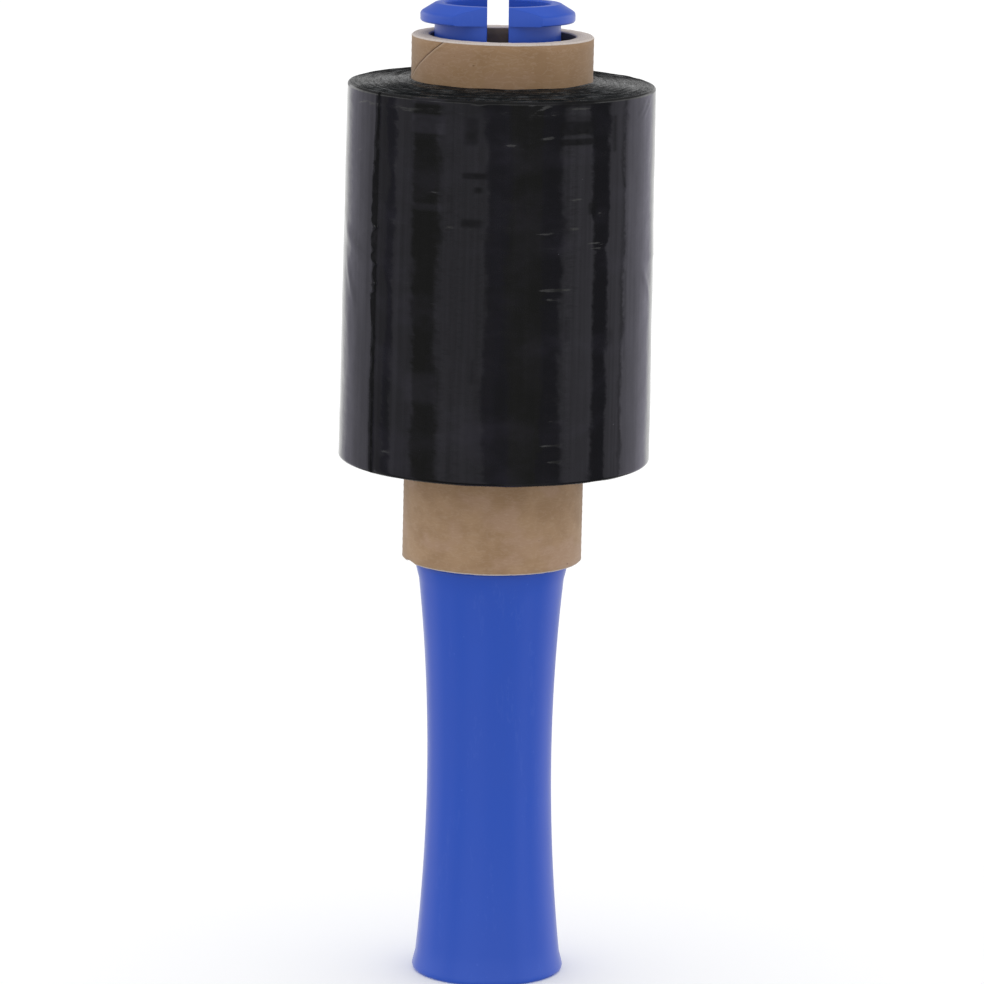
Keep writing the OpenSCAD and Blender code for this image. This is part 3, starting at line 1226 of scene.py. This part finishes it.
@dataclass
class WoundFilm:
    """The wound block of film, with its slack waves, creases, patches, torn tail and turns.

    open_shares gives how far the gap at the tail stands open, as height and share, and
    torn_spots where its edge bulges out or is torn in, as height, reach and share.
    """

    PATCH_MARK: ClassVar[str] = "film_patch"

    axis: RollAxis
    width: float = 99.6
    low_height: float = 27.2
    low_radius: float = 41.2
    top_radius: float = 40.4
    bore_radius: float = 23.87
    corner: float = 0.8
    crown: float = 1.1
    turns: int = 36
    turn_edge: float = 0.17
    mean_edge: float = 0.55
    edge_swing: float = 0.9
    uneven_turns: float = 0.3
    uneven_across: float = 9.0
    row: float = 0.43
    columns: int = 240
    corner_steps: int = 4
    slack_wave: float = 0.16
    slack_across: float = 11.0
    slack_up: float = 26.0
    small_share: float = 0.3
    small_across: float = 5.0
    small_up: float = 7.0
    gauge_band: float = 0.03
    band_step: float = 2.3
    slow_band_step: float = 9.0
    slow_band_share: float = 0.6
    tail_deg: float = -51.75
    tail_step: float = 0.16
    tail_gap: float = 1.6
    tail_pull: float = 3.5
    tail_waver: float = 0.12
    waver_step: float = 4.0
    torn_step: float = 6.5
    tear: float = 1.7
    closed: float = 0.72
    least_tear: float = -0.5
    most_tear: float = 0.25
    most_closed: float = 0.88
    open_shares: Pairs = (
        (30.0, 0.1), (44.0, 0.35), (62.0, 0.45), (74.0, 1.0), (104.0, 0.9), (112.0, 0.7), (118.0, 0.25),
    )
    torn_spots: tuple[tuple[float, float, float], ...] = (
        (96.6, 2.4, -0.75), (91.7, 0.9, 0.85), (82.0, 0.9, 0.88), (77.2, 0.7, 0.8), (75.2, 0.6, 0.85),
        (62.9, 0.5, 0.3), (56.9, 0.5, 0.3), (48.0, 0.5, 0.25),
    )
    ledge_back: float = 5.0
    under_corner: float = 0.06
    patch_fade_deg: float = 2.4
    crease_waver: float = 0.3
    crease_end: float = 1.6
    end_depth: float = 0.12
    skin_depth: float = 3.5
    skin_fade: float = 3.0
    side_from: float = 0.2
    side_full: float = 1.8
    ledges: tuple[Ledge, ...] = tuple(Ledge(*row) for row in (
        (39.5, 4, 97.2, 1.8, -0.08), (2, 9, 72, 2.2, 0.07), (15, 6, 66, 1.6, 0.07),
        (120, 30, 118, 2.4, 0.18), (-130, 30, 104, 2.0, 0.15), (170, 26, 60, 2.2, 0.14),
        (85, 16, 82, 1.8, 0.12),
    ))
    creases: tuple[Crease, ...] = tuple(Crease(*row) for row in (
        (-24, 102.4, 3.6, 0.06), (4, 115.2, 2.4), (17.5, 117, 2.4), (30, 124.4, 6.5, 0.06),
        (29, 101, 2.2, 0.06), (28, 93.5, 2.2, 0.06), (17, 92.4, 5), (36.8, 89.4, 4.6, 0.09, -0.08),
        (37.6, 88.2, 7.6, 0.09, -0.08), (42.5, 89.6, 3.4, 0.09, 0.55), (21, 77.8, 8, 0.12, -0.02),
        (20.3, 75.4, 4.4, 0.1), (14.5, 73.2, 1.4, 0.05, 0.5), (21, 43.8, 4, 0.1), (20.5, 37.3, 7.5, 0.12),
        (22, 33.0, 4.6, 0.12), (-43.5, 33.3, 3.8, 0.1), (30.5, 117.9, 5.5, 0.06), (3, 80.5, 3, 0.04),
        (1, 76, 3, 0.05), (-58, 90, 6, 0.06, 0.5), (-60, 84.5, 7, 0.06, -0.4),
        (-55, 76.5, 4.5, 0.07, 0.1), (-56, 74, 3, 0.06, -0.2), (-63, 110.5, 3, 0.07, 0.3),
        (-70, 86.6, 13, 0.17, -0.45, 2.3), (-71, 76.5, 7, 0.13, -1.4, 2.2), (71, 77, 7, 0.12, -1.0, 2.0),
        (-66, 81.5, 5, 0.06, 0.3), (66, 123.5, 5.5, 0.14, 0.8), (69, 122.5, 5, 0.14, 0.8),
        (62, 60.4, 8, 0.03), (-8, 125.7, 1.8, 0.3), (12.5, 125.9, 3, 0.16, 0.3),
        (16, 124.8, 1.8, 0.2, 0.9), (140, 70, 9, 0.1, 0.1), (-150, 52, 8, 0.09, -0.1), (165, 95, 6, 0.09),
        (-120, 110, 5, 0.08, 0.2), (110, 44, 7, 0.09, -0.1), (-95, 66, 5, 0.08),
    ))
    patches: tuple[Patch, ...] = tuple(Patch(*row) for row in (
        (-27.5, 7.0, 120.2, 2.5, 0.8), (-27.5, 7.0, 126.6, 1.4, 0.7), (-27.0, 6.5, 98.9, 1.0, 0.55),
        (-28.5, 6.8, 51.8, 4.2, 0.5, 3.0), (-10.8, 2.7, 118.8, 3.6, -0.7, 2.0),
        (-7, 7, 125.5, 3.0, -0.4, 3.0), (-9.2, 4.6, 107.6, 0.8, -1.0), (-7.7, 1.6, 104.0, 0.8, -0.9),
        (-10, 4.2, 95.4, 1.1, -0.8, 1.6), (4, 3.4, 115.3, 1.7, 0.4, 2.5), (29, 7.2, 119.8, 1.6, -1.2),
        (29, 7.2, 116.3, 0.8, -1.1), (29, 7.5, 126.8, 1.6, -0.8), (29.5, 6.5, 122.3, 0.9, -0.45),
        (40, 3.6, 97.0, 2.4, 0.35, 2.5), (35.6, 1.5, 99.0, 1.6, -0.8), (46.3, 1.1, 117.8, 4.8, -0.7),
        (52.3, 0.9, 113.0, 9.5, -0.8), (53.8, 0.9, 70.0, 12.0, -0.5),
        (-43.3, 1.8, 44.0, 15.0, -0.45, 4.0), (-8.7, 0.9, 57.0, 3.4, -0.5),
        (26.2, 1.2, 68.0, 3.6, -0.5, 3.0), (45.5, 2.2, 65.0, 2.2, -0.4, 2.5),
        (-1.8, 3.4, 76.2, 3.2, -0.5), (20.0, 3.6, 109.5, 3.6, -0.5, 2.5),
        (10.5, 5.5, 92.0, 5.0, 0.3, 5.0), (-1.0, 2.6, 101.5, 2.4, 0.25, 3.0),
        (13.5, 4.0, 60.0, 8.0, 0.25, 6.0), (1.5, 2.5, 46.0, 9.0, -0.5, 6.0),
        (9.5, 5.0, 39.0, 5.0, 0.25, 4.0), (120, 12, 96, 5.0, 0.5, 4.0), (-140, 16, 66, 7.0, 0.45, 5.0),
        (175, 12, 110, 4.0, -0.6, 3.0),
    ))

    def end_face(self, edge_radius: float) -> Outline:
        """Lays out the turns' edges across an end face.

        Args:
            edge_radius: radius of the block's outer edge there.

        Returns:
            Radius and rise of each edge and valley, from the outside in.
        """
        outer = edge_radius - self.corner
        face = []
        for index in range(1, 2 * self.turns + 1):
            share = index / (2 * self.turns)
            uneven = self.mean_edge + self.edge_swing * ripple(index * 0.83, edge_radius, 0.5)
            tooth = self.turn_edge * uneven * (index % 2)
            face.append((outer + (self.bore_radius - outer) * share, self.crown * share + tooth))
        return face

    def outline(self) -> Outline:
        """Returns the block's outline, from the lower bore edge outwards."""
        top = self.low_height + self.width
        corner, steps = self.corner, self.corner_steps
        low_face = [(r, self.low_height - rise) for r, rise in reversed(self.end_face(self.low_radius))]
        high_face = [(r, top + rise) for r, rise in self.end_face(self.top_radius)]
        low_arc = arc((self.low_radius - corner, self.low_height + corner), corner, -90, 0, steps)
        high_arc = arc((self.top_radius - corner, top - corner), corner, 0, 90, steps)
        rows = round((self.width - 2 * self.corner) / self.row)
        side = []
        for index in range(1, rows):
            share = index / rows
            radius = self.low_radius + (self.top_radius - self.low_radius) * share
            side.append((radius, self.low_height + self.corner + (self.width - 2 * self.corner) * share))
        side.append((self.top_radius, top - self.corner - self.under_corner))
        return low_face + low_arc + side + high_arc + high_face

    def torn_offset(self, height: float) -> float:
        """Works out how far the torn edge comes in over the gap.

        Args:
            height: place up the roll, from the core's lower end.

        Returns:
            How far the edge comes in, as a share of the gap.
        """
        opened = between(self.open_shares, height)
        rough = self.tear * noise.fractal(Vector((0.4, 2.0, height / self.torn_step)), 0.45, 2.1, 5)
        rough = max(self.least_tear, min(self.most_tear, rough))
        spots = sum(share * bell((height - spot) / reach) for spot, reach, share in self.torn_spots)
        rough *= opened * max(0.0, 1 - abs(spots))
        return min(self.most_closed, self.closed * (1 - opened) + rough + spots)

    def crease_rise(self, turn: float, height: float) -> float:
        """Works out how far the creases lift the film.

        Args:
            turn: place round the roll, in radians.
            height: place up the roll, from the core's lower end.

        Returns:
            The rise, in millimetres.
        """
        lift = 0.0
        for crease in self.creases:
            off = height - crease.height
            if abs(off) > 3 * crease.half + 0.8 * abs(crease.slope) * crease.length:
                continue
            along = apart(turn, crease.turn_deg) * self.low_radius
            share = abs(along) / (0.5 * crease.length)
            if share > self.crease_end:
                continue
            waver = self.crease_waver * ripple(0.7 * along, crease.height, 3.0)
            across = (off - crease.slope * along - waver) / crease.half
            lift += crease.rise * math.exp(-across * across - share ** 4)
        return lift

    def patch_share(self, turn: float, height: float) -> float:
        """Works out how far a place is lightened, as haze and painted reflection, or how dull it is.

        Args:
            turn: place round the roll, in radians.
            height: place up the roll, from the core's lower end.

        Returns:
            From 0.5 for clear film up to 1 for the most lightened, as haze and painted reflection, or down
            to 0 for dull.
        """
        total = 0.0
        for patch in self.patches:
            off = patch.reach - abs(height - patch.height)
            if off < -patch.fade:
                continue
            away = abs(math.degrees(apart(turn, patch.turn_deg)))
            across = ease(0.5 + (patch.reach_deg - away) / self.patch_fade_deg)
            total += patch.share * across * ease(0.5 + off / patch.fade)
        return 0.5 + 0.5 * max(-1.0, min(1.0, total))

    def ledge_rise(self, turn: float, height: float) -> float:
        """Works out how far the slack turns' edges lift the film.

        Args:
            turn: place round the roll, in radians.
            height: place up the roll, from the core's lower end.

        Returns:
            The rise, in millimetres.
        """
        lift = 0.0
        for ledge in self.ledges:
            away = abs(apart(turn, ledge.turn_deg))
            window = ease(1.35 - away / math.radians(ledge.reach_deg) * 1.1)
            share = (height - ledge.height) / ledge.width + 0.5
            if window == 0.0 or share < 0:
                continue
            beyond = max(0.0, share - 1) * ledge.width
            lift += window * ledge.rise * min(share, 1.0) * math.exp(-beyond / self.ledge_back)
        return lift

    def lay_film(self, bm: Mesh) -> None:
        """Moves the spun block's vertices as the wound film lies.

        Args:
            bm: the spun block.
        """
        patch_mark = bm.verts.layers.float.new(self.PATCH_MARK)
        tail = math.radians(self.tail_deg)
        column = 1 / self.columns
        edge_share = 0.5 * self.tail_gap / (math.tau * self.low_radius)
        top = self.low_height + self.width
        for vert in bm.verts:
            radius = math.hypot(vert.co.x, vert.co.y)
            height = vert.co.z
            share = ((turn_of(vert.co) - tail) / math.tau) % 1.0
            share = edge_share + (share - 0.5 * column) * (1 - 2 * edge_share) / (1 - column)
            edge_radius = self.low_radius if height < (self.low_height + top) / 2 else self.top_radius
            skin = ease((radius - edge_radius + self.skin_depth) / self.skin_fade)
            turn = tail + math.tau * share
            from_tail = min(share, 1 - share) * math.tau * self.low_radius
            torn = share > 0.5
            waver = self.tail_waver * ripple(5.1, 2.0, height / self.waver_step)
            offset = self.torn_offset(height) if torn else waver
            turn += offset * self.tail_gap * bell(from_tail / self.tail_pull) * skin / radius
            radius += self.tail_step * (share - 0.5) * skin
            set_place(vert, turn, radius)
            inside = min(height - self.low_height, top - height)
            across, up = self.slack_across, self.slack_up
            slack = self.slack_wave * ripple(vert.co.x / across, vert.co.y / across, height / up)
            on_side = inside > self.side_from
            if on_side:
                slack += self.side_details(vert.co, turn, height) * ease(inside / self.side_full)
            vert[patch_mark] = self.patch_share(turn, height)
            set_place(vert, turn, radius + slack * skin)
            if not on_side and skin < 0.98:
                reach = ease((edge_radius - radius) / 2)
                across = self.uneven_across
                uneven = ripple(vert.co.x / across, vert.co.y / across, radius * 1.7)
                outward = 1 if height > self.low_height + 1 else -1
                vert.co.z += outward * reach * self.uneven_turns * uneven

    def side_details(self, point: Vector, turn: float, height: float) -> float:
        """Adds up the small waves, gauge bands, creases and ledges of the rolled face.

        Args:
            point: the place in the upright roll.
            turn: place round the roll, in radians.
            height: place up the roll, from the core's lower end.

        Returns:
            The rise, in millimetres.
        """
        across, up = self.small_across, self.small_up
        small = ripple(point.x / across, point.y / across, height / up + 20)
        slow_band = self.slow_band_share * ripple(0.1, 4.2, height / self.slow_band_step)
        band = ripple(0.3, 0.7, height / self.band_step) + slow_band
        wave = self.small_share * self.slack_wave * small + self.gauge_band * band
        return wave + self.crease_rise(turn, height) + self.ledge_rise(turn, height)

    def build(self, effects: Effects) -> bpy.types.Object:
        """Builds the film in place of the plain solid.

        Args:
            effects: the shared effects.

        Returns:
            The wound film.
        """
        bm = spun(self.outline(), self.columns)
        top = self.low_height + self.width
        near_tail = 0.25 * math.tau / self.columns
        for face in bm.faces:
            middle = face.calc_center_median()
            beyond = max(self.low_height - middle.z, middle.z - top)
            on_skin = math.hypot(middle.x, middle.y) > self.top_radius - self.corner
            in_gap = on_skin and abs(apart(turn_of(middle), self.tail_deg)) < near_tail
            # Faces in the gap beside the tail get the painted tail shadow.
            face.material_index = 1 if beyond > -self.end_depth else 2 if in_gap else 0
        self.lay_film(bm)
        finishes = (BlackFilm(self.axis), FilmEdge(self.axis), TailShadow(self.axis))
        piece = finished(bm, "wound_film", self.axis.placing(), Body.ROLL,
                         [finish.build(effects) for finish in finishes])
        for polygon in piece.data.polygons:
            polygon.use_smooth = polygon.material_index != 1
        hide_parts("film_roll")
        return piece


@dataclass(frozen=True)
class Card:
    """One card or gap of the studio, as the gloss mirrors it.

    Args:
        start_deg: where it begins, round from the camera's side.
        end_deg: where it ends.
        level: its brightness.
        tint: its tint.
    """

    start_deg: float
    end_deg: float
    level: float
    tint: Tint = Tint.PLAIN


@dataclass
class Studio:
    """Pale floor, soft room light and the camera of the photograph."""

    focal_px: float = 5100.0
    distance: float = 1333.65
    eye_height: float = 368.99
    sideways: float = -0.1
    pitch_deg: float = 10.15
    roll_deg: float = 0.67
    floor_half: float = 9000.0
    room_level: float = 1.0
    ground_share: float = 0.88
    overhead_level: float = 0.16
    low_edge_deg: float = -27.0
    low_blur: float = 0.004
    high_edge_deg: float = -3.4
    high_blur: float = 0.006
    edge_waver: float = 0.04
    card_slant: float = 0.3
    card_shift: float = 0.05
    card_waver: float = 0.08
    clutter_across: float = 4.0
    clutter_up: float = 30.0
    clutter_colour: Colour = (0.16, 0.15, 0.18, 1.0)
    ceiling_from: float = 0.18
    ceiling_full: float = 0.4
    floor_colour: Colour = (0.94, 0.94, 0.94, 1.0)
    cards: tuple[Card, ...] = tuple(Card(*row) for row in (
        (-180, -158, 1.15), (-142, -104, 0.63, Tint.VIOLET), (-101, -93, 0.22, Tint.VIOLET),
        (-92, -86, 0.12, Tint.NAVY), (-84.5, -68.5, 0.36, Tint.VIOLET), (-65.5, -47.5, 0.08, Tint.OLIVE),
        (-43.5, -10, 0.4, Tint.VIOLET), (-6.5, 6, 0.11, Tint.NAVY), (9, 31, 0.1, Tint.OLIVE),
        (33, 47, 0.08, Tint.NAVY), (51, 73, 0.52, Tint.VIOLET), (75.5, 88, 0.06, Tint.NAVY),
        (90, 103.5, 0.47, Tint.VIOLET), (105, 107, 0.3, Tint.VIOLET), (109, 146, 0.84, Tint.VIOLET),
        (162, 180, 1.05),
    ))
    low_cards: tuple[Card, ...] = tuple(Card(*row) for row in (
        (-180, -120, 0.3), (-105, -75, 0.08), (-70, -10, 0.03, Tint.VIOLET), (0, 40, 0.2),
        (45, 100, 0.06, Tint.VIOLET), (120, 180, 0.25),
    ))
    high_cards: tuple[Card, ...] = tuple(Card(*row) for row in (
        (-180, -158, 0.5), (-150, -132, 1.2), (-120, -70, 0.95), (-60, -52, 0.3), (-48, 40, 0.9),
        (46, 52, 0.3), (56, 125, 1.0), (130, 146, 1.2), (156, 180, 0.65),
    ))

    def build(self) -> None:
        """Makes floor, light and camera."""
        self.lay_floor()
        self.light_room()
        self.place_camera()
        bpy.context.scene.view_settings.view_transform = "Standard"

    def lay_floor(self) -> None:
        """Lays the plain pale floor."""
        bm = bmesh.new()
        bmesh.ops.create_grid(bm, x_segments=1, y_segments=1, size=self.floor_half * MM)
        floor = linked(bm, "floor")
        material, _, shader = material_sheet("pale_floor")
        shader.inputs["Base Color"].default_value = self.floor_colour
        shader.inputs["Roughness"].default_value = 1.0
        shader.inputs["Specular IOR Level"].default_value = 0.0
        floor.data.materials.append(material)
        floor.visible_glossy = False
        floor.visible_diffuse = False

    def ring(self, sheet: NodeSheet, share: Socket, cards: tuple[Card, ...]) -> Socket:
        """Returns the colour of a ring of cards.

        Args:
            sheet: the world's sheet.
            share: place round the ring, from 0 to 1.
            cards: the ring's cards, in order.

        Returns:
            The colour at that place.
        """
        stops = []
        for card in cards:
            colour = tuple(card.level * part for part in card.tint.value)
            stops += [((edge + 180) / 360, colour) for edge in (card.start_deg, card.end_deg)]
        return sheet.ramp(share, stops)

    def mirrored_room(self, sheet: NodeSheet) -> Socket:
        """Builds the room that gloss mirrors: rings of cards and a soft ceiling.

        Args:
            sheet: the world's sheet.

        Returns:
            Its colour in the mirrored direction.
        """
        way = sheet.split(sheet.add("ShaderNodeTexCoord").outputs["Generated"])
        azimuth = sheet.math("ARCTAN2", way["X"], sheet.times(way["Y"], -1.0))
        moved = sheet.math("ADD", azimuth, self.card_shift)
        slanted = sheet.scaled(way["Z"], self.card_slant, moved)
        across, up = sheet.times(azimuth, self.clutter_across), sheet.times(way["Z"], self.clutter_up)
        clutter = sheet.noise(sheet.joined(across, up), 1.0, 2.0)
        centred = sheet.math("SUBTRACT", slanted, self.card_waver / 2)
        shifted = sheet.scaled(clutter, self.card_waver, centred)
        share = sheet.math("ADD", sheet.math("DIVIDE", shifted, math.tau), 0.5)
        front = sheet.span(sheet.math("ABSOLUTE", azimuth), 1.0, 1.4, 1.0, 0.0)
        stir = sheet.times(front, sheet.span(clutter, 0.53, 0.58, 0.0, 0.4))
        middle = sheet.mix(stir, self.ring(sheet, share, self.cards), self.clutter_colour)
        height = sheet.math("SUBTRACT", way["Z"], self.edge_waver / 2)
        level = sheet.scaled(clutter, self.edge_waver, height)
        low, high = (math.sin(math.radians(edge)) for edge in (self.low_edge_deg, self.high_edge_deg))
        above_low = sheet.span(level, low - self.low_blur, low + self.low_blur)
        lower = sheet.mix(above_low, self.ring(sheet, share, self.low_cards), middle)
        above_high = sheet.span(level, high - self.high_blur, high + self.high_blur)
        walls = sheet.mix(above_high, lower, self.ring(sheet, share, self.high_cards))
        ceiling = sheet.span(way["Z"], self.ceiling_from, self.ceiling_full)
        return sheet.mix(ceiling, walls, (self.overhead_level,) * 3 + (1.0,))

    def light_room(self) -> None:
        """Makes the soft light of the room."""
        world = bpy.data.worlds.new("soft_room")
        bpy.context.scene.world = world
        world.use_nodes = True
        sheet = NodeSheet(world.node_tree)
        backdrop = world.node_tree.nodes["Background"]
        rays = sheet.add("ShaderNodeLightPath").outputs
        way = sheet.split(sheet.add("ShaderNodeTexCoord").outputs["Generated"])
        behind = sheet.span(way["Y"], -1.0, 0.7, 0.9, 1.25)
        above = sheet.span(way["Z"], 0.1, 0.9, 0.0, 0.06)
        ground = sheet.span(way["Z"], -0.04, 0.04, self.ground_share, 1.0)
        level = sheet.times(sheet.times(sheet.math("ADD", behind, above), ground), self.room_level)
        soft = sheet.joined(level, level, level)
        seen = sheet.mix(rays["Is Glossy Ray"], soft, self.mirrored_room(sheet))
        white = (1.0, 1.0, 1.0, 1.0)
        sheet.feed(backdrop, Color=sheet.mix(rays["Is Camera Ray"], seen, white), Strength=1.0)

    def place_camera(self) -> None:
        """Places the camera where the photograph was taken from."""
        lens = bpy.data.cameras.new("photo_camera")
        lens.sensor_width = FILM_GATE_MM
        lens.lens = FILM_GATE_MM * self.focal_px / PICTURE_PX
        lens.clip_start = 0.05
        camera = bpy.data.objects.new("photo_camera", lens)
        tilt = Matrix.Rotation(math.radians(90 - self.pitch_deg), 4, "X")
        roll = Matrix.Rotation(math.radians(self.roll_deg), 4, "Z")
        eye = Vector((self.sideways, -self.distance, self.eye_height)) * MM
        camera.matrix_world = Matrix.Translation(eye) @ tilt @ roll
        bpy.context.scene.collection.objects.link(camera)
        bpy.context.scene.camera = camera


def main() -> None:
    """Builds the scene, sub-assembly by sub-assembly, and reports each piece."""
    logging.basicConfig(level=logging.INFO)
    axis = RollAxis.from_frame("roll_spin")
    effects = Effects()
    effects.build()
    Studio().build()
    for maker in (Handle(), CardboardCore(axis), WoundFilm(axis)):
        piece = maker.build(effects)
        piece.data.calc_loop_triangles()
        LOG.info("%s: %d triangles", piece.name, len(piece.data.loop_triangles))


if __name__ == "__main__":
    main()
